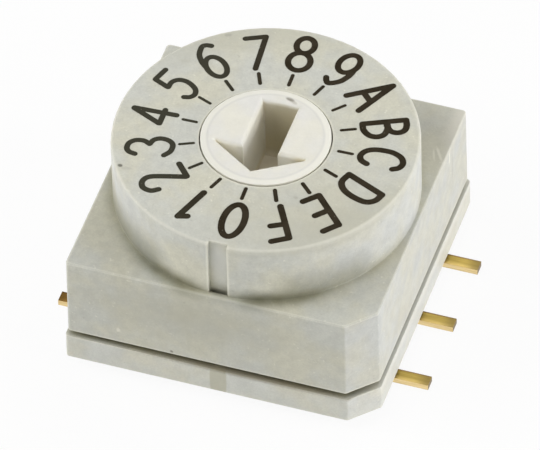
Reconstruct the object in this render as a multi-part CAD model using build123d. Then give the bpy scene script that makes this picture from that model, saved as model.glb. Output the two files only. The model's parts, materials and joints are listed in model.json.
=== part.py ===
from build123d import *
import math
import os

# A surface-mounted coded rotary switch with sixteen positions.
# Millimetres. Z points up, z = 0 is the underside of the solder feet, and the rotor turns about Z.
# The feet stand out along X, and the keyway in the collar faces -Y.

# Housing, collar and base plate
base_width = 10.0
housing_step = 0.07
corner_cut = 0.84
corner_radius = 0.12
edge_chamfer = 0.03
mould_draft = 0.5
standoff = 0.38
base_thickness = 0.92
joint_gap = 0.20
side_wall = 0.81
roof_thickness = 0.76
collar_inset = 0.16
collar_height = 2.15
collar_edge_radius = 0.10
keyway_width = 0.60
keyway_depth = 0.17
keyway_pocket = 0.30
keyway_skin = 0.06

# Rotor
rotor_diameter = 4.04
rotor_gap = 0.04
rim_width = 0.22
rim_drop = 0.03
face_rise = 0.07
lip_thickness = 0.76
barrel_diameter = 5.74
barrel_gap = 0.08
float_gap = 0.06
wheel_room = 0.52
wheel_height = 0.93
pivot_diameter = 1.20
pivot_length = 1.35
pivot_gap = 0.04

# Arrow slot in the rotor's face
slot_width = 1.12
slot_end_room = 0.35
arrow_side_room = 0.37
arrow_back = 0.56
slot_depth = 2.45
slot_edge_radius = 0.14

# Seal round the rotor's barrel
seal_section = 0.50
seal_chamfer = 0.12
seal_gap = 0.02
seal_groove_height = 0.58
seal_drop = 0.55

# Detent
positions = 16
notch_width = 0.84
notch_depth = 0.28
leaf_thickness = 0.15
leaf_height = 0.70
leaf_end_room = 0.92
leaf_bow = 0.28
leaf_curve = 0.06
nose_half_width = 0.48
nose_radius = 0.14
nose_gap = 0.05
seat_gap = 0.02
post_width = 0.50
post_depth = 0.34

# Code disc
disc_thickness = 0.15
disc_inset = 0.40
disc_bore = 1.60
fit_gap = 0.03
disc_rim = 0.30
common_track = 1.05
track_web = 0.14

# Terminals and contact springs
lead_pitch = 2.54
lead_reach = 1.04
lead_width = 0.40
lead_thickness = 0.20
lead_bend = 0.15
leg_inset = 0.30
pad_width = 0.85
pad_length = 1.07
weld_length = 0.75
deck_height = 0.45
deck_gap = 0.05
contact_room = 0.85
spring_thickness = 0.08
spring_root = 0.40
spring_nose = 0.20
spring_hook = 0.10
nose_position = 0.50
contact_gap = 0.03

# Rivets that hold the base in the housing, and the seals below
rivet_diameter = 0.60
rivet_head = 0.84
rivet_head_height = 0.20
rivet_inset = 0.27
rivet_gap = 0.03
well_length = 1.10
well_width = 0.90
well_depth = 0.20
gasket_offset = 0.10
gasket_width = 0.36
gasket_depth = 0.20

# Levels, from the solder feet up
base_bottom = standoff
base_top = base_bottom + base_thickness
housing_bottom = base_top + joint_gap
deck_top = base_top + deck_height
disc_bottom = deck_top + contact_room
disc_top = disc_bottom + disc_thickness
wheel_top = disc_top + wheel_height
roof_bottom = wheel_top + float_gap
housing_top = roof_bottom + roof_thickness
collar_top = housing_top + collar_height
face_level = collar_top + face_rise
lip_bottom = collar_top - lip_thickness
shoulder = lip_bottom - float_gap
groove_top = shoulder - seal_drop
groove_bottom = groove_top - seal_groove_height
pivot_bottom = disc_bottom - pivot_length
leaf_top = wheel_top - fit_gap
rivet_head_top = base_bottom + rivet_gap + rivet_head_height

# Widths, radii and places that follow, from the outside in
housing_width = base_width - 2 * housing_step
collar_radius = housing_width / 2 - collar_inset
cavity_half = housing_width / 2 - side_wall
wheel_radius = cavity_half - wheel_room
notch_bottom = wheel_radius - notch_depth
disc_radius = wheel_radius - disc_inset
track_pitch = (disc_radius - disc_rim - common_track) / 4
window_width = track_pitch - track_web
rotor_radius = rotor_diameter / 2
face_radius = rotor_radius - rim_width
barrel_radius = barrel_diameter / 2
barrel_bore = barrel_radius + barrel_gap
seal_outer = barrel_bore - seal_gap
leaf_end = cavity_half - leaf_end_room
lead_tip = base_width / 2 + lead_reach
leg_position = cavity_half - leg_inset
pad_end = leg_position - pad_length
rivet_x = cavity_half - rivet_inset
rivet_points = [(x, y) for x in (-rivet_x, rivet_x) for y in (-lead_pitch / 2, lead_pitch / 2)]

# Each contact: name, side of the switch, row of the lead, where its finger lies, radius of its track
contacts = [
    ("1", -1, -1, -1, common_track + 4 * track_pitch),
    ("common_left", -1, 0, 1, common_track),
    ("4", -1, 1, 1, common_track + 2 * track_pitch),
    ("2", 1, -1, -1, common_track + 3 * track_pitch),
    ("common_right", 1, 0, -1, common_track),
    ("8", 1, 1, 1, common_track + track_pitch),
]
code_weights = {"1": 1, "2": 2, "4": 4, "8": 8}


def block(x_range, y_range, z_range):
    ranges = (x_range, y_range, z_range)
    middle = [(low + high) / 2 for low, high in ranges]
    return Pos(*middle) * Box(*[high - low for low, high in ranges])


def post(radius, z_range, x=0, y=0):
    height = z_range[1] - z_range[0]
    return Pos(x, y, z_range[0]) * Cylinder(radius, height, align=(Align.CENTER, Align.CENTER, Align.MIN))


def on_side(piece, side, row):
    placed = Pos(0, row * lead_pitch, 0) * piece
    return placed if side > 0 else mirror(placed, Plane.YZ)


def cut_square(width, inset=0):
    # A square with its front right corner cut off.
    half = width / 2
    corners = [
        (-half, -half),
        (half - corner_cut, -half),
        (half, corner_cut - half),
        (half, half),
        (-half, half),
    ]
    outline = make_face(Polyline(*corners, close=True))
    return offset(outline, -inset, kind=Kind.INTERSECTION) if inset else outline


def slab(outline, z_range, taper=0):
    return Pos(0, 0, z_range[0]) * extrude(outline, amount=z_range[1] - z_range[0], taper=taper)


def moulded_block(width, z_range):
    # The walls lean in with the mould's draft, and the upright corners are rounded.
    tapered = slab(cut_square(width), z_range, mould_draft)
    return fillet(tapered.edges().group_by(Axis.Z)[1], corner_radius)


def ring_sector(middle, width, start, span):
    outer = CenterArc((0, 0), middle + width / 2, start, span)
    inner = CenterArc((0, 0), middle - width / 2, start, span)
    ends = [Line(inner @ 0, outer @ 0), Line(inner @ 1, outer @ 1)]
    return make_face([outer, inner, *ends])


def nose_point(side, finger_side, track):
    # A finger's nose meets its track near the middle line, where the track runs along X.
    return side * nose_position, finger_side * math.sqrt(track**2 - nose_position**2)


def code_windows(gap=0):
    # A contact is open over a window, and the arrow turns clockwise from 0.
    step = 360 / positions
    windows = []
    for name, side, row, finger_side, track in contacts:
        weight = code_weights.get(name)
        if not weight:
            continue
        x, y = nose_point(side, finger_side, track)
        nose_angle = math.degrees(math.atan2(y, x))
        slack = math.degrees(gap / track)
        for first in range(0, positions, 2 * weight):
            start = nose_angle + step * (first - 0.5) + slack
            span = step * weight - 2 * slack
            windows.append(ring_sector(track, window_width - 2 * gap, start, span))
    return windows


def make_housing():
    shell = moulded_block(housing_width, (housing_bottom, housing_top))
    shell = chamfer(shell.faces().sort_by(Axis.Z)[-1].edges(), edge_chamfer)
    collar = post(collar_radius, (housing_top, collar_top))
    collar = fillet(collar.faces().sort_by(Axis.Z)[-1].edges(), collar_edge_radius)
    shell += collar
    shell -= slab(cut_square(housing_width, side_wall), (housing_bottom, roof_bottom))
    shell -= post(barrel_bore, (roof_bottom, lip_bottom))
    shell -= post(rotor_radius + rotor_gap, (lip_bottom, collar_top))
    shell -= keyway()
    for x, y in rivet_points:
        shell += rivet(x, y)
    return shell


def keyway():
    floor = collar_radius - keyway_depth
    half = keyway_width / 2
    slot = block((-half, half), (-2 * collar_radius, -floor), (housing_top, 2 * collar_top))
    pocket_front = collar_radius - keyway_skin
    pocket = block((-half, half), (-pocket_front, -floor), (housing_top - keyway_pocket, housing_top))
    return slot + pocket


def rivet(x, y):
    head_bottom = rivet_head_top - rivet_head_height
    shank = post(rivet_diameter / 2, (head_bottom, roof_bottom), x, y)
    return shank + post(rivet_head / 2, (head_bottom, rivet_head_top), x, y)


def make_rotor():
    groove_radius = seal_outer - seal_section - seal_gap
    outline = [
        (0, pivot_bottom),
        (pivot_diameter / 2, pivot_bottom),
        (pivot_diameter / 2, disc_bottom),
        (disc_bore / 2 - fit_gap, disc_bottom),
        (disc_bore / 2 - fit_gap, disc_top),
        (wheel_radius, disc_top),
        (wheel_radius, wheel_top),
        (barrel_radius, wheel_top),
        (barrel_radius, groove_bottom),
        (groove_radius, groove_bottom),
        (groove_radius, groove_top),
        (barrel_radius, groove_top),
        (barrel_radius, shoulder),
        (rotor_radius, shoulder),
        (rotor_radius, face_level - rim_drop),
        (face_radius, face_level),
        (0, face_level),
    ]
    rotor = revolve(Plane.XZ * make_face(Polyline(*outline, close=True)), Axis.Z)
    rotor = cut_arrow(rotor)
    rotor -= PolarLocations(0, positions) * notch()
    for window in code_windows(fit_gap):
        rotor += slab(window, (disc_bottom, disc_top))
    return rotor


def notch():
    # A V in the wheel's rim, notch_width wide at the rim.
    bottom = (notch_bottom, 0)
    outside = wheel_radius + notch_depth
    outline = make_face(Polyline(bottom, (outside, -notch_width), (outside, notch_width), close=True))
    return slab(outline, (disc_top, wheel_top))


def cut_arrow(rotor):
    half = slot_width / 2
    head = face_radius - arrow_side_room
    end = face_radius - slot_end_room
    corners = [
        (-half, end),
        (-half, -arrow_back),
        (-head, -arrow_back),
        (0, -end),
        (head, -arrow_back),
        (half, -arrow_back),
        (half, end),
    ]
    arrow = make_face(Polyline(*corners, close=True))
    rotor -= slab(arrow, (face_level - slot_depth, face_level))
    rim = rotor.faces().sort_by(Axis.Z)[-1].inner_wires()[0].edges()
    return fillet(rim, slot_edge_radius)


def make_rotor_seal():
    # A square ring with its edges broken.
    middle = Pos(seal_outer - seal_section / 2, (groove_bottom + groove_top) / 2)
    section = chamfer(Rectangle(seal_section, seal_section).vertices(), seal_chamfer)
    return revolve(Plane.XZ * middle * section, Axis.Z)


def make_code_disc():
    sheet = Circle(disc_radius) - Circle(disc_bore / 2)
    for window in code_windows():
        sheet -= window
    return slab(sheet, (disc_bottom, disc_top))


def make_detent_spring(side):
    # A bowed leaf: its ends bear on the housing's wall and its nose sits in a notch of the wheel.
    half_leaf = leaf_thickness / 2
    end_y = cavity_half - seat_gap - half_leaf
    foot_y = end_y - leaf_bow
    nose_y = notch_bottom + nose_gap + half_leaf
    rounding = nose_radius * (math.hypot(nose_half_width, foot_y - nose_y) / nose_half_width - 1)
    end = (leaf_end, end_y)
    foot = (nose_half_width, foot_y)
    middle = ((end[0] + foot[0]) / 2, (end_y + foot_y) / 2 - leaf_curve)
    bow = ThreePointArc(end, middle, foot)
    nose = FilletPolyline(foot, (0, nose_y - rounding), (-nose_half_width, foot_y), radius=nose_radius)
    leaf = trace([bow, nose, mirror(bow, Plane.YZ)], leaf_thickness)
    spring = slab(leaf, (leaf_top - leaf_height, leaf_top))
    return spring if side > 0 else mirror(spring, Plane.XZ)


def make_base():
    plate = moulded_block(base_width, (base_bottom, base_top))
    deck = slab(cut_square(housing_width, side_wall + deck_gap), (base_top, deck_top))
    base = plate + deck + spring_posts() - gasket_ring(fit_gap)
    base -= post(pivot_diameter / 2 + pivot_gap, (pivot_bottom - pivot_gap, deck_top))
    for name, side, row, finger_side, track in contacts:
        base -= on_side(terminal_space(), side, row)
    for x, y in rivet_points:
        base -= post(rivet_diameter / 2 + rivet_gap, (base_bottom, deck_top), x, y)
        base -= post(rivet_head / 2 + rivet_gap, (base_bottom, rivet_head_top), x, y)
    return base


def spring_posts():
    # Four posts under the ends of the detent springs.
    inner_x = leaf_end - leaf_thickness - post_width
    inner_y = cavity_half - deck_gap - post_depth
    x_range = (inner_x, inner_x + post_width)
    y_range = (inner_y, inner_y + post_depth)
    corner = block(x_range, y_range, (deck_top, leaf_top - leaf_height - seat_gap))
    pair = corner + mirror(corner, Plane.YZ)
    return pair + mirror(pair, Plane.XZ)


def terminal_space():
    # Slot for the leg, recess for the pad and well for the resin, on the right in the middle row.
    half_leg = lead_thickness / 2 + fit_gap
    half_slot = lead_width / 2 + fit_gap
    half_pad = pad_width / 2 + fit_gap
    leg_outside = leg_position + half_leg
    slot = block((leg_position - half_leg, leg_outside), (-half_slot, half_slot), (base_bottom, deck_top))
    pad_bottom = deck_top - lead_thickness
    recess = block((pad_end - fit_gap, leg_outside), (-half_pad, half_pad), (pad_bottom, deck_top))
    return slot + recess + well(0)


def well(recess):
    x_range = (leg_position - well_length / 2, leg_position + well_length / 2)
    y_range = (-well_width / 2, well_width / 2)
    return block(x_range, y_range, (base_bottom + recess, base_bottom + well_depth))


def make_terminal():
    # Foot, leg and pad of one stamped strip, on the right in the middle row.
    half = lead_thickness / 2
    pad_level = deck_top - half
    corners = [(lead_tip, half), (leg_position, half), (leg_position, pad_level), (pad_end, pad_level)]
    line = FilletPolyline(*corners, radius=lead_bend)
    strip = extrude(Plane.XZ * trace(line, lead_thickness), amount=lead_width / 2, both=True)
    pad_x = (pad_end, leg_position - half - lead_bend)
    pad = block(pad_x, (-pad_width / 2, pad_width / 2), (deck_top - lead_thickness, deck_top))
    return strip + pad


def make_contact_spring(row, finger_side, track):
    # A welded pad with one tapered finger that rises to the code disc and turns down at its nose.
    x, y = nose_point(1, finger_side, track)
    weld_end = pad_end + weld_length
    low = deck_top + spring_thickness / 2
    high = disc_bottom - contact_gap - spring_thickness / 2
    corners = [(weld_end, low), (pad_end, low), (x, high), (x - spring_hook, high - spring_hook)]
    bend = trace(FilletPolyline(*corners, radius=spring_hook), spring_thickness)
    strip = extrude(Plane.XZ * bend, amount=spring_root / 2, both=True)
    tip = x - 2 * spring_hook
    taper = [
        (weld_end, spring_root / 2),
        (pad_end, spring_root / 2),
        (x, spring_nose / 2),
        (tip, spring_nose / 2),
        (tip, -spring_nose / 2),
        (x, -spring_nose / 2),
        (pad_end, -spring_root / 2),
        (weld_end, -spring_root / 2),
    ]
    plan = make_face(Polyline(*taper, close=True))
    finger = Pos(0, y, 0) * (strip & slab(plan, (deck_top, disc_bottom)))
    lead_y = row * lead_pitch
    pad_low = min(lead_y - pad_width / 2, y - spring_root / 2)
    pad_high = max(lead_y + pad_width / 2, y + spring_root / 2)
    pad = block((pad_end, weld_end), (pad_low, pad_high), (deck_top, deck_top + spring_thickness))
    return finger + pad


def gasket_ring(gap=0):
    inner_inset = side_wall - gasket_offset
    outer = cut_square(housing_width, inner_inset - gasket_width - gap)
    inner = cut_square(housing_width, inner_inset + gap)
    return slab(outer - inner, (base_top - gasket_depth, housing_bottom))


def make_sealing_resin():
    half_x = lead_thickness / 2
    leg = block(
        (leg_position - half_x, leg_position + half_x), (-lead_width / 2, lead_width / 2), (0, deck_top)
    )
    plug = well(fit_gap) - leg
    return Compound(children=[on_side(plug, side, row) for name, side, row, finger_side, track in contacts])


os.makedirs("parts", exist_ok=True)
export_step(make_housing(), "parts/housing.step")
export_step(make_base(), "parts/base.step")
export_step(make_rotor(), "parts/rotor.step")
export_step(make_rotor_seal(), "parts/rotor_seal.step")
export_step(make_code_disc(), "parts/code_disc.step")
export_step(make_detent_spring(-1), "parts/detent_spring_front.step")
export_step(make_detent_spring(1), "parts/detent_spring_back.step")
export_step(gasket_ring(), "parts/gasket.step")
export_step(make_sealing_resin(), "parts/sealing_resin.step")
for name, side, row, finger_side, track in contacts:
    spring = make_contact_spring(row, finger_side, track)
    export_step(on_side(make_terminal(), side, row), f"parts/terminal_{name}.step")
    export_step(on_side(spring, side, 0), f"parts/contact_spring_{name}.step")
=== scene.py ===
import json
import math
import bmesh
import bpy
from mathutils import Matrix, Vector


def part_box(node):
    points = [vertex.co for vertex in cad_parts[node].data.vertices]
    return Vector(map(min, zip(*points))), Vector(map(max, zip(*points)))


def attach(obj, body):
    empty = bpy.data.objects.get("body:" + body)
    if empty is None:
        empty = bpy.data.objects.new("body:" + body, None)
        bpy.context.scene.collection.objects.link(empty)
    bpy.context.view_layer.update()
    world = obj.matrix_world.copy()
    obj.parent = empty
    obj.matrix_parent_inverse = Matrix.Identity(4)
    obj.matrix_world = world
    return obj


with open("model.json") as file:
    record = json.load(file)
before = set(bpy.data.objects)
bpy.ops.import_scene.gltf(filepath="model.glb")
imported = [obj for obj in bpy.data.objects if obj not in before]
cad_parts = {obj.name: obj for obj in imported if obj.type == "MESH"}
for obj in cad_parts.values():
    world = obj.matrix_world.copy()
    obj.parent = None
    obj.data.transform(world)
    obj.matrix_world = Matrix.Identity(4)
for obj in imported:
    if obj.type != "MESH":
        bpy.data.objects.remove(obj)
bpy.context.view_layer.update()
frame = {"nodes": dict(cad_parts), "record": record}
cadNodes = frame["nodes"]
scene = bpy.context.scene
mm = 0.001
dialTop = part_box("housing")[1].z / mm
collarRadius = next(m for m in frame["record"]["mounts"] if m["name"] == "collar")["dims"]["r_mm"]
collarHeight = 2.15
footHeight = dialTop - collarHeight  # where the collar meets the square housing
rotorRadius = 2.02


# Helpers for node trees, where a value is a socket, a number or a plain colour

def setInput(tree, socket, value):
    if isinstance(value, bpy.types.NodeSocket):
        tree.links.new(value, socket)
    elif isinstance(value, tuple):
        socket.default_value = (*value, 1)
    else:
        socket.default_value = value


def addMath(tree, operation, *values):
    node = tree.nodes.new("ShaderNodeMath")
    node.operation = operation
    for socket, value in zip(node.inputs, values):
        setInput(tree, socket, value)
    return node.outputs[0]


def multiply(tree, first, *others):
    for other in others:
        first = addMath(tree, "MULTIPLY", first, other)
    return first


def addRange(tree, value, low, high, toLow=0.0, toHigh=1.0):
    # a smooth step from toLow to toHigh while the value goes from low to high
    node = tree.nodes.new("ShaderNodeMapRange")
    node.interpolation_type = "SMOOTHSTEP"
    setInput(tree, node.inputs["Value"], value)
    for label, number in (("From Min", low), ("From Max", high), ("To Min", toLow), ("To Max", toHigh)):
        setInput(tree, node.inputs[label], number)
    return node.outputs["Result"]


def addNoise(tree, place, scale, detail=3.0, roughness=0.5):
    node = tree.nodes.new("ShaderNodeTexNoise")
    for label, value in (("Vector", place), ("Scale", scale), ("Detail", detail), ("Roughness", roughness)):
        setInput(tree, node.inputs[label], value)
    return node.outputs["Fac"]


def addMix(tree, amount, first, second, blend="MIX"):
    # inputs 6 and 7 and output 2 are the node's colours
    node = tree.nodes.new("ShaderNodeMix")
    node.data_type = "RGBA"
    node.blend_type = blend
    setInput(tree, node.inputs["Factor"], amount)
    setInput(tree, node.inputs[6], first)
    setInput(tree, node.inputs[7], second)
    return node.outputs[2]


def splitVector(tree, vector):
    node = tree.nodes.new("ShaderNodeSeparateXYZ")
    tree.links.new(vector, node.inputs[0])
    return node.outputs


def lengthOf(tree, vector):
    node = tree.nodes.new("ShaderNodeVectorMath")
    node.operation = "LENGTH"
    tree.links.new(vector, node.inputs[0])
    return node.outputs["Value"]


def objectPlace(tree):
    # position on the piece in millimetres, which turns with the piece
    place = tree.nodes.new("ShaderNodeTexCoord")
    scale = tree.nodes.new("ShaderNodeVectorMath")
    scale.operation = "SCALE"
    scale.inputs["Scale"].default_value = 1 / mm
    tree.links.new(place.outputs["Object"], scale.inputs[0])
    return scale.outputs[0]


def fromAxis(tree, axes):
    # distance from the rotor's axis, from the three numbers of a place
    flat = tree.nodes.new("ShaderNodeCombineXYZ")
    for label in "XY":
        tree.links.new(axes[label], flat.inputs[label])
    return lengthOf(tree, flat.outputs[0])


def facingOf(tree):
    # the three numbers of the direction that the surface faces, without bump
    normal = tree.nodes.new("ShaderNodeNewGeometry")
    return splitVector(tree, normal.outputs["True Normal"])


def outwards(azimuth, elevation):
    # unit vector away from the middle, from degrees round from the front and degrees up
    turn = math.radians(azimuth)
    lift = math.radians(elevation)
    return Vector((math.sin(turn) * math.cos(lift), -math.cos(turn) * math.cos(lift), math.sin(lift)))


# Camera, at the photograph's viewing angle

cameraView = {
    "azimuth": 19.472,  # degrees round from the front, towards +X
    "elevation": 46.871,
    "roll": -1.633,
    "distance": 300.0,  # mm from the middle of the switch
    "middleHeight": 3.0,
    "shiftRight": 0.0567,  # mm, so that the switch sits where it does in the photograph
    "shiftUp": -0.173,
    "lens": 646.3,
    "sensor": 36,
    "clip": (0.01, 10),  # metres
}


def makeCamera():
    azimuth = math.radians(cameraView["azimuth"])
    roll = math.radians(cameraView["roll"])
    back = outwards(cameraView["azimuth"], cameraView["elevation"])
    level = Vector((math.cos(azimuth), math.sin(azimuth), 0))
    upright = back.cross(level)
    right = level * math.cos(roll) + upright * math.sin(roll)
    up = upright * math.cos(roll) - level * math.sin(roll)
    place = Vector((0, 0, cameraView["middleHeight"])) + back * cameraView["distance"]
    place += right * cameraView["shiftRight"] + up * cameraView["shiftUp"]
    data = bpy.data.cameras.new("camera")
    data.lens = cameraView["lens"]
    data.sensor_width = cameraView["sensor"]
    data.clip_start, data.clip_end = cameraView["clip"]
    camera = bpy.data.objects.new("camera", data)
    scene.collection.objects.link(camera)
    matrix = camera.matrix_world.to_3x3()
    for row in range(3):
        matrix[row] = (right[row], up[row], back[row])
    camera.matrix_world = matrix.to_4x4()
    camera.location = place * mm
    scene.camera = camera


# Light: soft boxes round the switch, most of them low and the strongest on the right, in a dim pale room

studio = {
    "room": 0.10,
    "floorColour": (0.90, 0.90, 0.89),
    "floorSize": 1.6,  # metres
    "floorWhite": 0.92,  # share of plain white that the camera sees in the floor
    "lampSize": 0.34,
    "lampDistance": 0.45,
    "lamps": {  # name: (azimuth round from the front, elevation, watts)
        "right": (92, 13, 1.95),
        "left": (-90, 12, 0.88),
        "leftHigh": (-65, 42, 0.95),
        "front": (0, 12, 0.36),
        "behind": (165, 42, 0.58),
        "above": (0, 84, 0.26),
    },
}


def makeLamp(name, azimuth, elevation, watts):
    away = outwards(azimuth, elevation)
    data = bpy.data.lights.new(name, "AREA")
    data.shape = "SQUARE"
    data.size = studio["lampSize"]
    data.energy = watts
    lamp = bpy.data.objects.new(name, data)
    scene.collection.objects.link(lamp)
    lamp.location = away * studio["lampDistance"]
    lamp.rotation_euler = away.to_track_quat("Z", "Y").to_euler()


def whiteBehind(tree):
    # 1 for the rays that should see a plain white background: the camera's, reflections and glass
    path = tree.nodes.new("ShaderNodeLightPath")
    either = addMath(tree, "MAXIMUM", path.outputs["Is Camera Ray"], path.outputs["Is Glossy Ray"])
    return addMath(tree, "MAXIMUM", either, path.outputs["Is Transmission Ray"])


def mixShaders(tree, amount, first, second, outputKind):
    # the second node's shader shows where the amount is 1
    mix = tree.nodes.new("ShaderNodeMixShader")
    output = tree.nodes.new(outputKind)
    tree.links.new(amount, mix.inputs[0])
    tree.links.new(first.outputs[0], mix.inputs[1])
    tree.links.new(second.outputs[0], mix.inputs[2])
    tree.links.new(mix.outputs[0], output.inputs[0])


def makeRoom():
    world = bpy.data.worlds.new("room")
    scene.world = world
    world.use_nodes = True
    tree = world.node_tree
    tree.nodes.clear()
    light = tree.nodes.new("ShaderNodeBackground")
    white = tree.nodes.new("ShaderNodeBackground")
    for background in (light, white):
        background.inputs["Color"].default_value = (1, 1, 1, 1)
    light.inputs["Strength"].default_value = studio["room"]
    mixShaders(tree, whiteBehind(tree), light, white, "ShaderNodeOutputWorld")


def makeFloor():
    half = studio["floorSize"] / 2
    corners = [(-half, -half, 0), (half, -half, 0), (half, half, 0), (-half, half, 0)]
    mesh = bpy.data.meshes.new("floor")
    mesh.from_pydata(corners, [], [(0, 1, 2, 3)])
    floor = bpy.data.objects.new("floor", mesh)
    scene.collection.objects.link(floor)
    material = bpy.data.materials.new("floorPaper")
    material.use_nodes = True
    tree = material.node_tree
    tree.nodes.clear()
    paper = tree.nodes.new("ShaderNodeBsdfDiffuse")
    paper.inputs["Color"].default_value = (*studio["floorColour"], 1)
    white = tree.nodes.new("ShaderNodeEmission")
    share = multiply(tree, whiteBehind(tree), studio["floorWhite"])
    mixShaders(tree, share, paper, white, "ShaderNodeOutputMaterial")
    floor.data.materials.append(material)


# Shared effects, each a node group that gives masks or values

def newGroup(name, inputs, outputs):
    # inputs are labels with their first values, and outputs are labels
    group = bpy.data.node_groups.new(name, "ShaderNodeTree")
    for label, value in inputs.items():
        kind = "NodeSocketVector" if isinstance(value, tuple) else "NodeSocketFloat"
        group.interface.new_socket(label, in_out="INPUT", socket_type=kind).default_value = value
    for label in outputs:
        group.interface.new_socket(label, in_out="OUTPUT", socket_type="NodeSocketFloat")
    return group, group.nodes.new("NodeGroupInput").outputs, group.nodes.new("NodeGroupOutput").inputs


def useGroup(tree, group, **values):
    # values are the group's inputs, with _ for a space in a label
    node = tree.nodes.new("ShaderNodeGroup")
    node.node_tree = group
    for label, value in values.items():
        node.inputs[label.replace("_", " ")].default_value = value
    return node.outputs


mottleLook = {  # scales per mm, and the noises' detail and roughness
    "cloudScale": 0.6,
    "cloudNoise": (3.0, 0.55),
    "cloudRange": (0.36, 0.64),
    "patchFiner": 4.5,  # times the cloud's scale
    "patchNoise": (4.0, 0.62),
    "grainScale": 14.0,
    "grainNoise": (3.0, 0.6),
    "fleckCoarser": 0.5,  # times the grain's scale
    "fleckNoise": (2.0, 0.5),
    "paleFleckRange": (0.69, 0.75),
    "darkFleckRange": (0.28, 0.20),
}


def makeMottleGroup():
    # cloudy drift of tone in moulded plastic, smaller patches, a fine grain, and pale and dark flecks
    look = mottleLook
    group, given, result = newGroup(
        "mottle",
        {"Cloud Scale": look["cloudScale"], "Grain Scale": look["grainScale"]},
        ("Cloud", "Patch", "Grain", "Pale Fleck", "Dark Fleck"),
    )
    place = objectPlace(group)
    cloud = addNoise(group, place, given["Cloud Scale"], *look["cloudNoise"])
    patchScale = multiply(group, given["Cloud Scale"], look["patchFiner"])
    patch = addNoise(group, place, patchScale, *look["patchNoise"])
    grain = addNoise(group, place, given["Grain Scale"], *look["grainNoise"])
    fleckScale = multiply(group, given["Grain Scale"], look["fleckCoarser"])
    fleck = addNoise(group, place, fleckScale, *look["fleckNoise"])
    group.links.new(addRange(group, cloud, *look["cloudRange"]), result["Cloud"])
    group.links.new(patch, result["Patch"])
    group.links.new(grain, result["Grain"])
    group.links.new(addRange(group, fleck, *look["paleFleckRange"]), result["Pale Fleck"])
    group.links.new(addRange(group, fleck, *look["darkFleckRange"]), result["Dark Fleck"])
    return group


shadeLook = {
    "samples": 8,
    "edgeRange": (0.10, 0.55),
    "creviceShadeRange": (0.97, 0.42),
}


def makeEdgeWearAndHighlightGroup():
    # mask along outer edges, where the plastic is thin, rubbed and a little paler, and where highlight is
    # painted along them
    group, given, result = newGroup("edge", {"Width": 0.0}, ("Edge Wear And Highlight",))
    inside = group.nodes.new("ShaderNodeAmbientOcclusion")
    inside.inside = True
    inside.only_local = True
    inside.samples = shadeLook["samples"]
    group.links.new(given["Width"], inside.inputs["Distance"])
    buried = addMath(group, "SUBTRACT", 1.0, inside.outputs["AO"])
    group.links.new(addRange(group, buried, *shadeLook["edgeRange"]), result["Edge Wear And Highlight"])
    return group


def makeCreviceShadeGroup():
    # mask in corners and narrow gaps, where shade is painted into the plastic's colour
    group, given, result = newGroup("creviceShade", {"Reach": 0.0}, ("Crevice Shade",))
    around = group.nodes.new("ShaderNodeAmbientOcclusion")
    around.samples = shadeLook["samples"]
    group.links.new(given["Reach"], around.inputs["Distance"])
    group.links.new(addRange(group, around.outputs["AO"], *shadeLook["creviceShadeRange"]), result["Crevice Shade"])
    return group


footShadeLook = {  # ranges as (from, to) in mm, and the share of painted shade at each end where it isn't 0 to 1
    "unevenNoise": (0.9, 2.0),  # scale per mm and detail
    "uneven": (0.38, 0.62, 0.8, 1.0),
    "besideKeyway": (0.32, 1.2, 0.3, 1.0),  # most of it lies each side of the keyway
    "right": (2.4, 3.6, 1.0, 0.1),
    "left": (-2.0, -3.8, 1.0, 0.35),
    "climb": (1.0, 0.15),  # shares of the height that the painted shade on the wall reaches
    "wallStart": (0.0, 0.1),
    "wallShadeCorners": (1.5, 2.4),
    "wallShadeRight": (4.3, 3.8, 0.0, 0.75),
    "wallShadeLeft": (-4.75, -4.2),
    "wallShadeGain": (0.5, -0.5, 1.0, 1.33),  # the painted shade on the wall is stronger towards -X
}


def makeFootShadeGroup():
    # painted shade round the foot of the collar, and a wider band of painted shade up its wall
    look = footShadeLook
    group, given, result = newGroup("foot", {"Reach": 0.0, "Climb": 0.0}, ("Foot", "Wall Shade"))
    place = objectPlace(group)
    axes = splitVector(group, place)
    away = addMath(group, "SUBTRACT", fromAxis(group, axes), collarRadius)
    above = addMath(group, "SUBTRACT", axes["Z"], footHeight)
    squares = addMath(group, "ADD", multiply(group, away, away), multiply(group, above, above))
    reach = addMath(group, "DIVIDE", addMath(group, "SQRT", squares), given["Reach"])
    near = addMath(group, "SUBTRACT", 1.0, reach)
    across = addMath(group, "ABSOLUTE", axes["X"])
    footShadow = multiply(
        group,
        addRange(group, near, 0.0, 1.0),
        addRange(group, addNoise(group, place, *look["unevenNoise"]), *look["uneven"]),
        addRange(group, across, *look["besideKeyway"]),
        addRange(group, axes["X"], *look["right"]),
        addRange(group, axes["X"], *look["left"]),
    )
    group.links.new(footShadow, result["Foot"])
    wallShade = multiply(
        group,
        addRange(group, addMath(group, "DIVIDE", above, given["Climb"]), *look["climb"]),
        addRange(group, above, *look["wallStart"]),
        addMath(group, "SUBTRACT", 1.0, footShadow),
        addRange(group, across, *look["wallShadeCorners"]),
        addRange(group, axes["X"], *look["wallShadeRight"]),
        addRange(group, axes["X"], *look["wallShadeLeft"]),
        addRange(group, axes["X"], *look["wallShadeGain"]),
    )
    group.links.new(wallShade, result["Wall Shade"])
    return group


rimLook = {  # mm past the inner radius
    "step": (-0.03, 0.05),
    "line": (0.075, 0.0),
}


def makeRimGroup():
    # what lies past an inner radius from the axis, and a soft line along that radius
    group, given, result = newGroup("rim", {"Inner": 0.0}, ("Rim", "Line"))
    radius = fromAxis(group, splitVector(group, objectPlace(group)))
    past = addMath(group, "SUBTRACT", radius, given["Inner"])
    group.links.new(addRange(group, past, *rimLook["step"]), result["Rim"])
    group.links.new(addRange(group, addMath(group, "ABSOLUTE", past), *rimLook["line"]), result["Line"])
    return group


markLook = {
    "noiseScale": 9.0,  # per mm
    "noiseMiddle": 0.5,
    "noiseGain": 4.0,
    "edge": 0.9,  # share of the size at which a mark is half as strong
}


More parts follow.
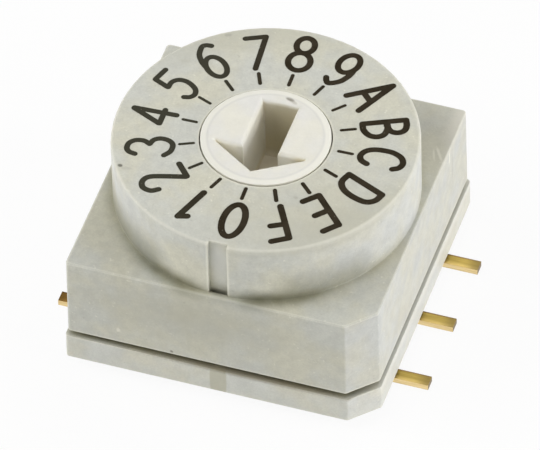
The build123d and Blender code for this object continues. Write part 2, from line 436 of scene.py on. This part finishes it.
def makeMarkGroup():
    # a single soft-edged mark: Place, Turn and Size set an ellipsoid in millimetres
    look = markLook
    group, given, result = newGroup(
        "mark",
        {"Place": (0, 0, 0), "Turn": (0, 0, 0), "Size": (1, 1, 1), "Ragged": 0.0, "Soft": 1.0},
        ("Mark",),
    )
    place = objectPlace(group)
    local = group.nodes.new("ShaderNodeMapping")
    local.vector_type = "TEXTURE"
    group.links.new(place, local.inputs["Vector"])
    group.links.new(given["Place"], local.inputs["Location"])
    group.links.new(given["Turn"], local.inputs["Rotation"])
    group.links.new(given["Size"], local.inputs["Scale"])
    noise = addMath(group, "SUBTRACT", addNoise(group, place, look["noiseScale"]), look["noiseMiddle"])
    ragged = multiply(group, noise, given["Ragged"], look["noiseGain"])
    reach = addMath(group, "ADD", lengthOf(group, local.outputs["Vector"]), ragged)
    inwards = addMath(group, "DIVIDE", addMath(group, "SUBTRACT", look["edge"], reach), given["Soft"])
    group.links.new(addRange(group, inwards, -1.0, 1.0), result["Mark"])
    return group


mottleGroup = makeMottleGroup()
edgeWearAndHighlightGroup = makeEdgeWearAndHighlightGroup()
creviceShadeGroup = makeCreviceShadeGroup()
footShadeGroup = makeFootShadeGroup()
rimGroup = makeRimGroup()
markGroup = makeMarkGroup()


def startMaterial(name):
    material = bpy.data.materials.new(name)
    material.use_nodes = True
    tree = material.node_tree
    tree.nodes.clear()
    surface = tree.nodes.new("ShaderNodeBsdfPrincipled")
    output = tree.nodes.new("ShaderNodeOutputMaterial")
    tree.links.new(surface.outputs[0], output.inputs[0])
    return material, tree, surface


bevelSamples = 6


def addBump(tree, surface, height, strength, distance, rounding=0.0):
    # distance and rounding in mm
    bump = tree.nodes.new("ShaderNodeBump")
    bump.inputs["Strength"].default_value = strength
    bump.inputs["Distance"].default_value = distance * mm
    tree.links.new(height, bump.inputs["Height"])
    if rounding:
        soft = tree.nodes.new("ShaderNodeBevel")
        soft.samples = bevelSamples
        soft.inputs["Radius"].default_value = rounding * mm
        tree.links.new(soft.outputs[0], bump.inputs["Normal"])
    tree.links.new(bump.outputs[0], surface.inputs["Normal"])


# Plastics

housingFinish = {
    "warm": (0.585, 0.572, 0.470),
    "cool": (0.556, 0.560, 0.505),
    "pale": (0.80, 0.785, 0.68),
    "dark": (0.38, 0.37, 0.30),
    "patchiness": 0.065,  # change of tone from patch to patch, either way
    "graininess": 0.05,
    "sideLightTint": (0.985, 0.99, 1.045),  # painted cooler light on the walls that face left or right
    "roughness": 0.55,
    "edgeWidth": 0.13,
    "edgeWearAndHighlightShare": 0.9,
    "rounding": 0.035,
    "creviceShadeReach": 0.35,
    "creviceShadeTone": (0.86, 0.855, 0.80),
    "creviceShadeRight": 0.25,  # share of the painted crevice shade on the side towards +X, which the strongest lamp lights
    # painted shade round the collar's foot and up its wall
    "footShadeTone": (0.38, 0.375, 0.295),
    "footShadeReach": 0.55,
    "wallShadeTone": (0.57, 0.565, 0.51),
    "wallShadeClimb": 1.5,
    "collarShade": 1.06,  # change of tone on the collar
    "collarShadeRise": 0.6,  # mm above its foot over which the change grows
    "rimLight": 0.4,  # strength of the pale line of wear and painted highlight along the collar's rim
    "rimInset": 0.05,
    "rimBand": (0.22, 0.12),  # mm below the dial
}

baseFinish = {
    "warm": (0.655, 0.640, 0.540),
    "cool": (0.635, 0.640, 0.590),
    "pale": (0.80, 0.785, 0.68),
    "dark": (0.38, 0.37, 0.30),
    "patchiness": 0.055,
    "graininess": 0.05,
    "sideLightTint": (0.99, 0.99, 1.02),
    "roughness": 0.55,
    "edgeWidth": 0.13,
    "edgeWearAndHighlightShare": 0.65,
    "rounding": 0.035,
    "creviceShadeReach": 0.33,
    "creviceShadeTone": (0.41, 0.395, 0.30),
    "creviceShadeRight": 0.12,
}

rotorFinish = {
    "warm": (0.815, 0.795, 0.700),
    "cool": (0.790, 0.780, 0.735),
    "pale": (0.87, 0.86, 0.78),
    "dark": (0.62, 0.60, 0.52),
    "patchiness": 0.025,
    "graininess": 0.015,
    "sideLightTint": (1.0, 1.0, 1.0),
    "roughness": 0.45,
    "edgeWidth": 0.06,
    "edgeWearAndHighlightShare": 0.25,
    "rounding": 0.03,
    "creviceShadeReach": 1.3,
    "creviceShadeTone": (0.86, 0.80, 0.66),
    "creviceShadeRight": 1.0,
    # the outer ring of the face: a creamier tone with painted highlight, and a painted shadow line at its
    # inner edge
    "rimCreamAndHighlight": (0.86, 0.845, 0.755),
    "rimCreamAndHighlightShare": 0.8,
    "rimWidth": 0.22,
    "rimShadowLine": (0.70, 0.69, 0.64),
    "rimShadowLineShare": 0.55,
}

plasticLook = {  # what the three plastics share
    "toneRange": (0.25, 0.75),
    "sideFacing": (0.3, 0.8),
    "paleFlecks": 0.42,
    "darkFlecks": 0.4,
    "creviceShadeSide": (4.1, 5.0),  # X in mm, over which the painted crevice shade falls to its share on the right
    "grainRange": (0.3, 0.7),
    "roughnessChange": 0.06,
    "specular": 0.4,
    "bump": (0.35, 0.012),  # strength, and depth in mm
}

# Marks of handling and moulding, and patches of painted light and shade: place, turn in degrees,
# size (mm), raggedness, softness, colour and strength
housingMarks = [
    # specks and smudges on the dial
    ((-3.90, -2.42, 6.65), 0, (0.085, 0.065, 0.2), 0.15, 0.4, (0.09, 0.085, 0.06), 0.85),
    ((-3.68, -2.46, 6.65), 15, (0.17, 0.07, 0.2), 0.35, 0.4, (0.44, 0.43, 0.36), 0.45),
    ((-2.50, 3.84, 6.65), 20, (0.13, 0.06, 0.2), 0.3, 0.4, (0.29, 0.28, 0.24), 0.7),
    ((1.66, -2.11, 6.65), 0, (0.07, 0.06, 0.2), 0.3, 0.5, (0.34, 0.33, 0.28), 0.55),
    ((-3.42, 2.38, 6.65), 30, (0.16, 0.10, 0.2), 0.3, 0.6, (0.48, 0.47, 0.40), 0.45),
    # a dark speck and a pale one, low on the front wall
    ((-1.53, -4.90, 1.60), 0, (0.055, 0.2, 0.055), 0.2, 0.4, (0.16, 0.15, 0.11), 0.75),
    ((-3.25, -4.90, 2.02), 0, (0.06, 0.2, 0.09), 0.3, 0.4, (0.80, 0.78, 0.68), 0.7),
    # the back right corner, rubbed and with painted highlight along its edge, a darker patch on top, two
    # scratches on top and two streaks down the wall
    ((4.95, 4.35, 4.57), 0, (0.52, 1.35, 0.13), 0.15, 0.45, (0.78, 0.755, 0.665), 0.9),
    ((4.95, 3.6, 4.50), 0, (0.20, 1.5, 0.25), 0.15, 0.6, (0.72, 0.705, 0.62), 0.6),
    ((4.30, 3.7, 4.50), 0, (0.9, 1.1, 0.3), 0.3, 0.9, (0.45, 0.43, 0.35), 0.35),
    ((4.64, 2.89, 4.50), -58, (0.33, 0.05, 0.2), 0.2, 0.5, (0.78, 0.76, 0.66), 0.6),
    ((4.50, 2.80, 4.50), -70, (0.26, 0.04, 0.2), 0.2, 0.5, (0.78, 0.76, 0.66), 0.45),
    ((4.95, 3.38, 3.62), 0, (0.2, 0.07, 0.80), 0.2, 0.6, (0.46, 0.44, 0.37), 0.45),
    ((4.95, 3.12, 4.15), 0, (0.2, 0.05, 0.30), 0.2, 0.5, (0.84, 0.82, 0.72), 0.75),
    # painted shadow at the foot of the keyway, and a paler, cooler tone on its back wall
    ((0.0, -4.66, 4.50), 0, (0.34, 0.14, 0.09), 0.05, 0.5, (0.20, 0.19, 0.14), 0.7),
    ((0.0, -4.60, 5.75), 0, (0.33, 0.14, 0.95), 0.03, 0.6, (0.64, 0.64, 0.59), 0.7),
    # duller patches on the dial
    ((1.95, -3.2, 6.65), 32, (2.8, 1.5, 0.3), 0.2, 0.9, (0.46, 0.45, 0.365), 0.5),
    ((-0.6, 4.3, 6.65), 8, (1.7, 0.6, 0.3), 0.2, 0.9, (0.46, 0.45, 0.365), 0.35),
    ((-2.7, 3.5, 6.65), 38, (2.1, 0.6, 0.3), 0.2, 0.9, (0.46, 0.45, 0.365), 0.5),
    ((3.3, -2.8, 6.65), 50, (2.2, 0.6, 0.3), 0.2, 0.9, (0.46, 0.45, 0.365), 0.55),
    # painted shade over the front wall
    ((-0.7, -4.92, 3.3), 0, (2.9, 0.3, 0.9), 0.2, 0.9, (0.44, 0.43, 0.345), 0.6),
]

baseMarks = [
    # a browner patch in the middle of the front, painted light on the ledge on the right, and painted shadow
    # along the front of the joint
    ((-0.02, -5.0, 0.85), 0, (0.30, 0.3, 1.5), 0.03, 0.09, (0.47, 0.45, 0.33), 0.65),
    ((5.00, 0.0, 1.30), 0, (0.13, 9.0, 0.3), 0.02, 0.4, (0.75, 0.745, 0.685), 0.6),
    ((1.0, -4.93, 1.30), 0, (3.6, 0.16, 0.10), 0.15, 0.6, (0.21, 0.175, 0.105), 0.65),
]

rotorMarks = [
    # a dark fleck behind the slot, and its smudge
    ((0.23, 1.72, 6.72), -18, (0.15, 0.075, 0.2), 0.12, 0.4, (0.22, 0.20, 0.15), 0.85),
    ((0.38, 1.63, 6.72), -30, (0.11, 0.06, 0.2), 0.2, 0.5, (0.44, 0.41, 0.34), 0.5),
    # painted light on the slot's walls and floor, for the light let through from the face, and painted shade
    # on its back wall, which lets less through
    ((-0.56, 0.6, 5.3), 0, (0.05, 1.35, 1.3), 0.05, 0.5, (0.95, 0.945, 0.89), 1.0),
    ((-1.0, -0.56, 5.9), 0, (0.62, 0.05, 1.3), 0.05, 0.4, (0.93, 0.925, 0.86), 0.9),
    ((0.85, -0.56, 5.9), 0, (0.42, 0.05, 1.2), 0.05, 0.4, (0.93, 0.925, 0.86), 0.9),
    ((-0.25, 0.7, 4.27), 0, (0.6, 1.6, 0.3), 0.05, 0.4, (0.91, 0.85, 0.72), 0.9),
    ((0.1, 1.45, 5.9), 0, (0.55, 0.05, 1.5), 0.05, 0.5, (0.46, 0.41, 0.26), 0.6),
]


def sideways(tree):
    # 1 on walls that face left or right, 0 on the others
    return addRange(tree, addMath(tree, "ABSOLUTE", facingOf(tree)["X"]), *plasticLook["sideFacing"])


def addMarks(tree, colour, marks):
    for place, turn, size, ragged, soft, stain, strength in marks:
        mark = useGroup(tree, markGroup, Place=place, Turn=(0, 0, math.radians(turn)), Size=size,
                        Ragged=ragged, Soft=soft)
        colour = addMix(tree, multiply(tree, mark["Mark"], strength), colour, stain)
    return colour


def addFaceRim(tree, colour, finish):
    # the outer ring of the rotor's face, creamier and with painted highlight, and the painted shadow line
    # that bounds it
    rim = useGroup(tree, rimGroup, Inner=rotorRadius - finish["rimWidth"])
    colour = addMix(tree, multiply(tree, rim["Rim"], finish["rimCreamAndHighlightShare"]), colour, finish["rimCreamAndHighlight"])
    return addMix(tree, multiply(tree, rim["Line"], finish["rimShadowLineShare"]), colour, finish["rimShadowLine"])


def addCollarTones(tree, colour, axes, finish):
    # the collar is a little paler, its rim has a pale line of wear and painted highlight, and painted shade
    # lies round its foot and up its wall
    shade = addRange(tree, axes["Z"], footHeight, footHeight + finish["collarShadeRise"], 1.0,
                     finish["collarShade"])
    colour = addMix(tree, 1.0, colour, shade, "MULTIPLY")
    rim = useGroup(tree, rimGroup, Inner=collarRadius - finish["rimInset"])
    low, high = finish["rimBand"]
    upper = addRange(tree, axes["Z"], dialTop - low, dialTop - high, 0.0, finish["rimLight"])
    colour = addMix(tree, multiply(tree, rim["Line"], upper), colour, finish["pale"])
    footShade = useGroup(tree, footShadeGroup, Reach=finish["footShadeReach"], Climb=finish["wallShadeClimb"])
    colour = addMix(tree, footShade["Wall Shade"], colour, finish["wallShadeTone"], "MULTIPLY")
    return addMix(tree, footShade["Foot"], colour, finish["footShadeTone"], "MULTIPLY")


def plasticMaterial(name, finish, marks):
    material, tree, surface = startMaterial(name)
    look = plasticLook
    mottle = useGroup(tree, mottleGroup)
    edge = useGroup(tree, edgeWearAndHighlightGroup, Width=finish["edgeWidth"] * mm)
    creviceShade = useGroup(tree, creviceShadeGroup, Reach=finish["creviceShadeReach"] * mm)
    axes = splitVector(tree, objectPlace(tree))
    colour = addMix(tree, mottle["Cloud"], finish["warm"], finish["cool"])
    for label, change in (("Patch", finish["patchiness"]), ("Grain", finish["graininess"])):
        shade = addRange(tree, mottle[label], *look["toneRange"], 1 - change, 1 + change)
        colour = addMix(tree, 1.0, colour, shade, "MULTIPLY")
    # painted cooler light on the walls that face left or right
    colour = addMix(tree, sideways(tree), colour, finish["sideLightTint"], "MULTIPLY")
    colour = addMix(tree, multiply(tree, mottle["Pale Fleck"], look["paleFlecks"]), colour, finish["pale"])
    colour = addMix(tree, multiply(tree, mottle["Dark Fleck"], look["darkFlecks"]), colour, finish["dark"])
    # edge wear and painted highlight along outer edges
    colour = addMix(tree, multiply(tree, edge["Edge Wear And Highlight"], finish["edgeWearAndHighlightShare"]), colour, finish["pale"])
    # painted shade in corners and gaps, weaker towards +X
    held = addRange(tree, axes["X"], *look["creviceShadeSide"], 1.0, finish["creviceShadeRight"])
    colour = addMix(tree, multiply(tree, creviceShade["Crevice Shade"], held), colour, finish["creviceShadeTone"], "MULTIPLY")
    colour = addMarks(tree, colour, marks)
    if "rimCreamAndHighlight" in finish:
        colour = addFaceRim(tree, colour, finish)
    if "collarShade" in finish:
        colour = addCollarTones(tree, colour, axes, finish)
    tree.links.new(colour, surface.inputs["Base Color"])
    smoothest = finish["roughness"] - look["roughnessChange"]
    roughest = finish["roughness"] + look["roughnessChange"]
    rough = addRange(tree, mottle["Grain"], *look["grainRange"], smoothest, roughest)
    tree.links.new(rough, surface.inputs["Roughness"])
    surface.inputs["Specular IOR Level"].default_value = look["specular"]
    addBump(tree, surface, mottle["Grain"], *look["bump"], finish["rounding"])
    return material


# Metals: gold-plated strip, gold-plated spring alloy and bright spring steel

goldTones = {"bright": (0.86, 0.68, 0.36), "dull": (0.70, 0.53, 0.25)}

footFinish = {
    **goldTones,
    "roughness": 0.40,
    "upperBright": (0.45, 0.33, 0.088),  # painted shade: the upper face is darker than the sides
    "upperDull": (0.36, 0.265, 0.068),
    "upperFacing": (0.3, 0.8),
    "pitch": 2.54,
    "upperNearHighlight": (0.62, 0.46, 0.16),  # painted highlight along its edge towards -Y
    "nearEdge": (-0.02, -0.18),  # mm from the foot's middle line
    "upperFar": (0.24, 0.145, 0.06),  # a thin line along its edge towards +Y
    "farEdge": (0.13, 0.18),
    "tip": (0.17, 0.125, 0.045),
    "tipFade": 0.55,  # mm of darker metal towards the cut tip of a foot
    "tipShare": 0.75,
    "end": (0.22, 0.155, 0.07),
    "endFacing": (0.5, 0.9),
    "left": (0.50, 0.38, 0.28),  # painted shade on the feet towards -X, mostly on their upper faces
    "leftFrom": (0.0, -1.0),
    "leftSides": 0.1,  # share of that painted shade on their sides
}

contactFinish = {**goldTones, "roughness": 0.22}

steelFinish = {"bright": (0.62, 0.62, 0.61), "dull": (0.45, 0.45, 0.44), "roughness": 0.28}

metalLook = {
    "streakLength": 0.9,  # mm
    "streakWidth": 0.05,
    "streakNoise": (1.0, 3.0, 0.6),  # scale, detail and roughness
    "toneRange": (0.35, 0.65),
    "roughRange": (0.3, 0.7),
    "smoother": 0.05,  # change of roughness at each end of its range
    "rougher": 0.08,
    "bump": (0.2, 0.006, 0.03),  # strength, then depth and rounding in mm
}


def rolledStreaks(tree):
    # fine lines along the strip, left by rolling
    length, width = metalLook["streakLength"], metalLook["streakWidth"]
    place = tree.nodes.new("ShaderNodeMapping")
    place.inputs["Scale"].default_value = (1 / length, 1 / width, 1 / width)
    tree.links.new(objectPlace(tree), place.inputs["Vector"])
    return addNoise(tree, place.outputs[0], *metalLook["streakNoise"])


def addFootTones(tree, colour, lines, finish):
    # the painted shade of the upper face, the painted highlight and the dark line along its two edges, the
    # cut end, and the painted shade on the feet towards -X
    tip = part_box("terminal_2")[1].x / mm
    axes = splitVector(tree, objectPlace(tree))
    facing = facingOf(tree)
    # painted shade: the upper face takes darker tones than the sides
    upper = addMix(tree, lines, finish["upperDull"], finish["upperBright"])
    across = addMath(tree, "WRAP", axes["Y"], finish["pitch"] / 2, -finish["pitch"] / 2)
    upper = addMix(tree, addRange(tree, across, *finish["nearEdge"]), upper, finish["upperNearHighlight"])
    upper = addMix(tree, addRange(tree, across, *finish["farEdge"]), upper, finish["upperFar"])
    worn = addRange(tree, addMath(tree, "ABSOLUTE", axes["X"]), tip - finish["tipFade"], tip)
    upper = addMix(tree, multiply(tree, worn, finish["tipShare"]), upper, finish["tip"])
    colour = addMix(tree, addRange(tree, facing["Z"], *finish["upperFacing"]), colour, upper)
    endwards = addMath(tree, "ABSOLUTE", facing["X"])
    colour = addMix(tree, addRange(tree, endwards, *finish["endFacing"]), colour, finish["end"])
    # painted shade on the feet towards -X
    leftShade = multiply(tree, addRange(tree, axes["X"], *finish["leftFrom"]),
                       addRange(tree, facing["Z"], *finish["upperFacing"], finish["leftSides"], 1.0))
    return addMix(tree, leftShade, colour, finish["left"], "MULTIPLY")


def metalMaterial(name, finish):
    material, tree, surface = startMaterial(name)
    look = metalLook
    streak = rolledStreaks(tree)
    lines = addRange(tree, streak, *look["toneRange"])
    colour = addMix(tree, lines, finish["dull"], finish["bright"])
    if "tip" in finish:
        colour = addFootTones(tree, colour, lines, finish)
    tree.links.new(colour, surface.inputs["Base Color"])
    surface.inputs["Metallic"].default_value = 1
    rough = addRange(tree, streak, *look["roughRange"], finish["roughness"] - look["smoother"],
                     finish["roughness"] + look["rougher"])
    tree.links.new(rough, surface.inputs["Roughness"])
    addBump(tree, surface, streak, *look["bump"])
    return material


# Soft and cast pieces

rubberFinish = {
    "grainScale": 22.0,
    "dark": (0.030, 0.030, 0.031),
    "light": (0.045, 0.044, 0.042),
    "roughness": (0.3, 0.7, 0.62, 0.78),  # range of the grain, and the roughness at each end
    "bump": (0.3, 0.01),
}


def rubberMaterial():
    finish = rubberFinish
    material, tree, surface = startMaterial("sealRubber")
    mottle = useGroup(tree, mottleGroup, Grain_Scale=finish["grainScale"])
    colour = addMix(tree, mottle["Cloud"], finish["dark"], finish["light"])
    tree.links.new(colour, surface.inputs["Base Color"])
    tree.links.new(addRange(tree, mottle["Grain"], *finish["roughness"]), surface.inputs["Roughness"])
    addBump(tree, surface, mottle["Grain"], *finish["bump"])
    return material


resinFinish = {
    "cloudScale": 2.5,
    "dark": (0.10, 0.075, 0.045),
    "light": (0.16, 0.12, 0.075),
    "roughness": (0.0, 1.0, 0.14, 0.24),  # range of the cloud, and the roughness at each end
    "bump": (0.4, 0.03, 0.04),
}


def resinMaterial():
    finish = resinFinish
    material, tree, surface = startMaterial("castResin")
    mottle = useGroup(tree, mottleGroup, Cloud_Scale=finish["cloudScale"])
    colour = addMix(tree, mottle["Cloud"], finish["dark"], finish["light"])
    tree.links.new(colour, surface.inputs["Base Color"])
    tree.links.new(addRange(tree, mottle["Cloud"], *finish["roughness"]), surface.inputs["Roughness"])
    addBump(tree, surface, mottle["Cloud"], *finish["bump"])
    return material


# The ink, and the dial's print: sixteen characters and a tick for each, drawn with a round pen

inkFinish = {
    "cloudScale": 2.2,
    "grainScale": 18.0,
    "thick": (0.019, 0.013, 0.0045),
    "thin": (0.031, 0.023, 0.012),
    "faded": (0.043, 0.042, 0.028),
    "fading": (-0.4, -2.8, 0.0, 0.85),  # X in mm, and the share of the faded tone at each end
    "worn": (0.20, 0.18, 0.14),
    "wornShare": 0.5,
    "roughness": 0.5,
    "specular": 0.08,
    "bump": (0.3, 0.006),
}


def inkMaterial():
    finish = inkFinish
    material, tree, surface = startMaterial("dialInk")
    mottle = useGroup(tree, mottleGroup, Cloud_Scale=finish["cloudScale"], Grain_Scale=finish["grainScale"])
    axes = splitVector(tree, objectPlace(tree))
    colour = addMix(tree, mottle["Cloud"], finish["thick"], finish["thin"])
    colour = addMix(tree, addRange(tree, axes["X"], *finish["fading"]), colour, finish["faded"])
    colour = addMix(tree, multiply(tree, mottle["Pale Fleck"], finish["wornShare"]), colour, finish["worn"])
    tree.links.new(colour, surface.inputs["Base Color"])
    surface.inputs["Roughness"].default_value = finish["roughness"]
    surface.inputs["Specular IOR Level"].default_value = finish["specular"]
    addBump(tree, surface, mottle["Grain"], *finish["bump"])
    return material


dialPrint = {  # millimetres
    "characters": "0123456789ABCDEF",
    "middleRadius": collarRadius - 1.12,
    # one width for each character: the print is a little heavier from A to 1 than from 2 to 7
    "penWidths": (0.212, 0.208, 0.188, 0.178, 0.180, 0.174, 0.179, 0.182, 0.197, 0.192, 0.200, 0.202,
                  0.198, 0.209, 0.207, 0.205),
    "tickRadii": (2.28, 2.71),
    "tickWidths": (0.120, 0.115, 0.102, 0.093, 0.100, 0.098, 0.115, 0.120, 0.118, 0.110, 0.103, 0.103,
                   0.107, 0.117, 0.128, 0.132),
    "turn": 1.5,  # degrees anticlockwise, as it was printed
    "shift": (0.03, 0.07),
    "thickness": 0.006,
    "sink": 0.002,
    "curveSteps": 6,
    "ringSteps": 32,
    "capSteps": 8,
}


def penLine(start, end):
    return [Vector(start), Vector(end)], False


def penCurve(*points):
    # a smooth line through the points
    steps = dialPrint["curveSteps"]
    points = [Vector(p) for p in points]
    ends = [2 * points[0] - points[1], *points, 2 * points[-1] - points[-2]]
    path = []
    for before, start, end, after in zip(ends, ends[1:], ends[2:], ends[3:]):
        for step in range(steps):
            t = step / steps
            path.append(0.5 * (2 * start + (end - before) * t
                               + (2 * before - 5 * start + 4 * end - after) * t**2
                               + (3 * start - before - 3 * end + after) * t**3))
    return [*path, points[-1]], False


def penRing(middleX, middleY, halfWidth, halfHeight):
    path = []
    for step in range(dialPrint["ringSteps"]):
        angle = 2 * math.pi * step / dialPrint["ringSteps"]
        path.append(Vector((middleX + halfWidth * math.cos(angle), middleY + halfHeight * math.sin(angle))))
    return path, True


# Strokes in millimetres round the middle of each character, with its top towards the rim
characterStrokes = {
    "0": [penRing(-0.02, 0.01, 0.33, 0.68)],
    "1": [penLine((-0.20, 0.45), (0.0, 0.60)), penLine((0.03, 0.63), (0.03, -0.62))],
    "2": [penCurve((-0.33, 0.30), (-0.26, 0.54), (-0.02, 0.68), (0.21, 0.58), (0.28, 0.33), (0.12, -0.02),
                   (-0.27, -0.67)),
          penLine((-0.27, -0.71), (0.31, -0.75))],
    "3": [penCurve((-0.24, 0.46), (-0.12, 0.63), (0.04, 0.68), (0.24, 0.59), (0.33, 0.38), (0.28, 0.13),
                   (0.12, -0.03)),
          penCurve((0.12, -0.03), (0.27, -0.17), (0.31, -0.38), (0.20, -0.62), (0.0, -0.73), (-0.26, -0.64),
                   (-0.41, -0.42))],
    "4": [penLine((0.08, 0.65), (0.11, -0.70)), penLine((0.06, 0.65), (-0.36, -0.27)),
          penLine((-0.36, -0.29), (0.23, -0.30))],
    "5": [penLine((-0.24, 0.62), (0.26, 0.63)), penLine((-0.25, 0.61), (-0.27, 0.10)),
          penCurve((-0.26, 0.09), (-0.02, 0.14), (0.19, 0.02), (0.28, -0.26), (0.20, -0.60), (0.02, -0.75),
                   (-0.17, -0.71), (-0.29, -0.56))],
    "6": [penRing(0.03, -0.25, 0.29, 0.46),
          penCurve((-0.25, -0.15), (-0.26, 0.14), (-0.18, 0.47), (0.04, 0.72), (0.19, 0.72), (0.32, 0.62))],
    "7": [penLine((-0.26, 0.60), (0.38, 0.61)), penLine((0.38, 0.60), (-0.08, -0.72))],
    "8": [penRing(0.02, 0.39, 0.28, 0.33), penRing(0.02, -0.32, 0.345, 0.38)],
    "9": [penRing(0.02, 0.31, 0.30, 0.41),
          penCurve((0.31, 0.20), (0.34, -0.08), (0.27, -0.44), (0.05, -0.71), (-0.08, -0.68),
                   (-0.18, -0.57))],
    "A": [penLine((-0.01, 0.75), (-0.35, -0.70)), penLine((-0.01, 0.75), (0.40, -0.68)),
          penLine((-0.22, -0.18), (0.25, -0.18))],
    "B": [penLine((-0.20, 0.65), (-0.19, -0.70)),
          penCurve((-0.20, 0.65), (0.06, 0.64), (0.25, 0.54), (0.31, 0.34), (0.23, 0.14), (0.02, 0.05),
                   (-0.18, 0.05)),
          penCurve((-0.18, 0.05), (0.08, 0.05), (0.33, -0.08), (0.41, -0.30), (0.32, -0.54), (0.08, -0.69),
                   (-0.19, -0.70))],
    "C": [penCurve((0.29, 0.42), (0.18, 0.60), (-0.02, 0.67), (-0.24, 0.56), (-0.38, 0.28), (-0.40, -0.04),
                   (-0.35, -0.36), (-0.22, -0.58), (-0.01, -0.68), (0.18, -0.60), (0.28, -0.40))],
    "D": [penLine((-0.26, 0.65), (-0.31, -0.68)),
          penCurve((-0.26, 0.65), (0.04, 0.64), (0.26, 0.48), (0.34, 0.20), (0.34, -0.20), (0.24, -0.50),
                   (0.04, -0.67), (-0.30, -0.68))],
    "E": [penLine((-0.14, 0.68), (-0.20, -0.70)), penLine((-0.14, 0.67), (0.40, 0.68)),
          penLine((-0.16, -0.01), (0.31, -0.01)), penLine((-0.20, -0.70), (0.35, -0.71))],
    "F": [penLine((-0.23, 0.66), (-0.10, -0.68)), penLine((-0.23, 0.66), (0.32, 0.74)),
          penLine((-0.16, 0.07), (0.28, 0.10))],
}


def leftOf(path, closed, index):
    # unit vector to the left of the path at one of its points
    last = len(path) - 1
    before = path[index - 1] if index or closed else path[index]
    after = path[(index + 1) % len(path)] if index < last or closed else path[index]
    along = (after - before).normalized()
    return Vector((-along.y, along.x))


def strokeObject(path, closed, width):
    # a flat-topped line of ink, with round ends if it is open; its faces are listed here one by one,
    # so that the mesh is the same each run
    half = width / 2
    left = [p + leftOf(path, closed, i) * half for i, p in enumerate(path)]
    right = [p - leftOf(path, closed, i) * half for i, p in enumerate(path)]
    if closed:
        outline = [*right, *left]
        outer = [(i, (i + 1) % len(path)) for i in range(len(path))]
        inner = [(j + len(path), i + len(path)) for i, j in outer]
        edges = [*outer, *inner]
        flat = [(*first, *second) for first, second in zip(outer, inner)]
    else:
        outline = [*right, *roundEnd(path[-1], right[-1]), *reversed(left), *roundEnd(path[0], left[0])]
        edges = [(i, (i + 1) % len(outline)) for i in range(len(outline))]
        flat = [tuple(range(len(outline)))]
    top = len(outline)
    height = dialPrint["thickness"] + dialPrint["sink"]
    corners = [(*p, z) for z in (0, height) for p in outline]
    faces = [(face[0], *face[:0:-1]) for face in flat]
    faces += [tuple(i + top for i in face) for face in flat]
    faces += [(i, j, j + top, i + top) for i, j in edges]
    mesh = bpy.data.meshes.new("stroke")
    mesh.from_pydata(corners, [], faces)
    stroke = bpy.data.objects.new("stroke", mesh)
    scene.collection.objects.link(stroke)
    return stroke


def roundEnd(middle, start):
    # the points of a half circle, anticlockwise from start, without its two ends
    steps = dialPrint["capSteps"]
    arm = start - middle
    points = []
    for step in range(1, steps):
        angle = math.pi * step / steps
        points.append(middle + Vector((arm.x * math.cos(angle) - arm.y * math.sin(angle),
                                       arm.x * math.sin(angle) + arm.y * math.cos(angle))))
    return points


def mergeStrokes(strokes):
    # one solid from the strokes of a character
    first = strokes[0]
    for other in strokes[1:]:
        union = first.modifiers.new("union", "BOOLEAN")
        union.operation = "UNION"
        union.solver = "EXACT"
        union.object = other
    bpy.context.view_layer.update()
    mesh = bpy.data.meshes.new_from_object(first.evaluated_get(bpy.context.evaluated_depsgraph_get()))
    for stroke in strokes:
        bpy.data.objects.remove(stroke)
    return mesh


def onDial(mesh, angle, radius):
    # move a mesh from the middle to its place on the dial, with its top outwards
    outward = Vector((math.cos(angle), math.sin(angle)))
    along = Vector((outward.y, -outward.x))
    base = dialTop - dialPrint["sink"]
    for vert in mesh.vertices:
        x, y, z = vert.co
        place = Vector(dialPrint["shift"]) + outward * (radius + y) + along * x
        vert.co = (place.x * mm, place.y * mm, (base + z) * mm)


def joinPrint(name, meshes, material):
    # one piece of print from its meshes, on the collar's body
    shape = bmesh.new()
    for mesh in meshes:
        shape.from_mesh(mesh)
        bpy.data.meshes.remove(mesh)
    joined = bpy.data.meshes.new(name)
    shape.to_mesh(joined)
    shape.free()
    joined.materials.append(material)
    piece = bpy.data.objects.new(name, joined)
    scene.collection.objects.link(piece)
    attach(piece, "body")


def makeDialPrint(ink):
    characters = []
    ticks = []
    tickInner, tickOuter = dialPrint["tickRadii"]
    step = 360 / len(dialPrint["characters"])
    for index, character in enumerate(dialPrint["characters"]):
        angle = math.radians(dialPrint["turn"] - 90 - step * index)
        width = dialPrint["penWidths"][index]
        strokes = [strokeObject(path, closed, width) for path, closed in characterStrokes[character]]
        characters.append(mergeStrokes(strokes))
        onDial(characters[-1], angle, dialPrint["middleRadius"])
        tick = strokeObject(*penLine((0, tickInner), (0, tickOuter)), dialPrint["tickWidths"][index])
        ticks.append(mergeStrokes([tick]))
        onDial(ticks[-1], angle, 0)
    joinPrint("dial_characters", characters, ink)
    joinPrint("dial_ticks", ticks, ink)


# Every piece from the model gets its finish

def dressModel():
    housing = plasticMaterial("housingPlastic", housingFinish, housingMarks)
    base = plasticMaterial("basePlastic", baseFinish, baseMarks)
    rotor = plasticMaterial("rotorPlastic", rotorFinish, rotorMarks)
    strip = metalMaterial("goldPlatedStrip", footFinish)
    contact = metalMaterial("goldPlatedSpring", contactFinish)
    steel = metalMaterial("springSteel", steelFinish)
    rubber = rubberMaterial()
    resin = resinMaterial()
    bySlot = {
        "housing_plastic": housing,
        "rotor_plastic": rotor,
        "lead_gold": strip,
        "contact_gold": contact,
        "spring_steel": steel,
        "seal_rubber": rubber,
        "resin": resin,
    }
    for part in frame["record"]["subparts"]:
        node = cadNodes[part["node"]]
        node.data.materials.clear()
        node.data.materials.append(base if part["node"] == "base" else bySlot[part["material_slot"]])


scene.view_settings.view_transform = "Standard"
makeCamera()
makeRoom()
makeFloor()
for lampName, (lampAzimuth, lampElevation, lampWatts) in studio["lamps"].items():
    makeLamp(lampName, lampAzimuth, lampElevation, lampWatts)
print("camera and light made")
dressModel()
print("model dressed")
makeDialPrint(inkMaterial())
print("dial printed")
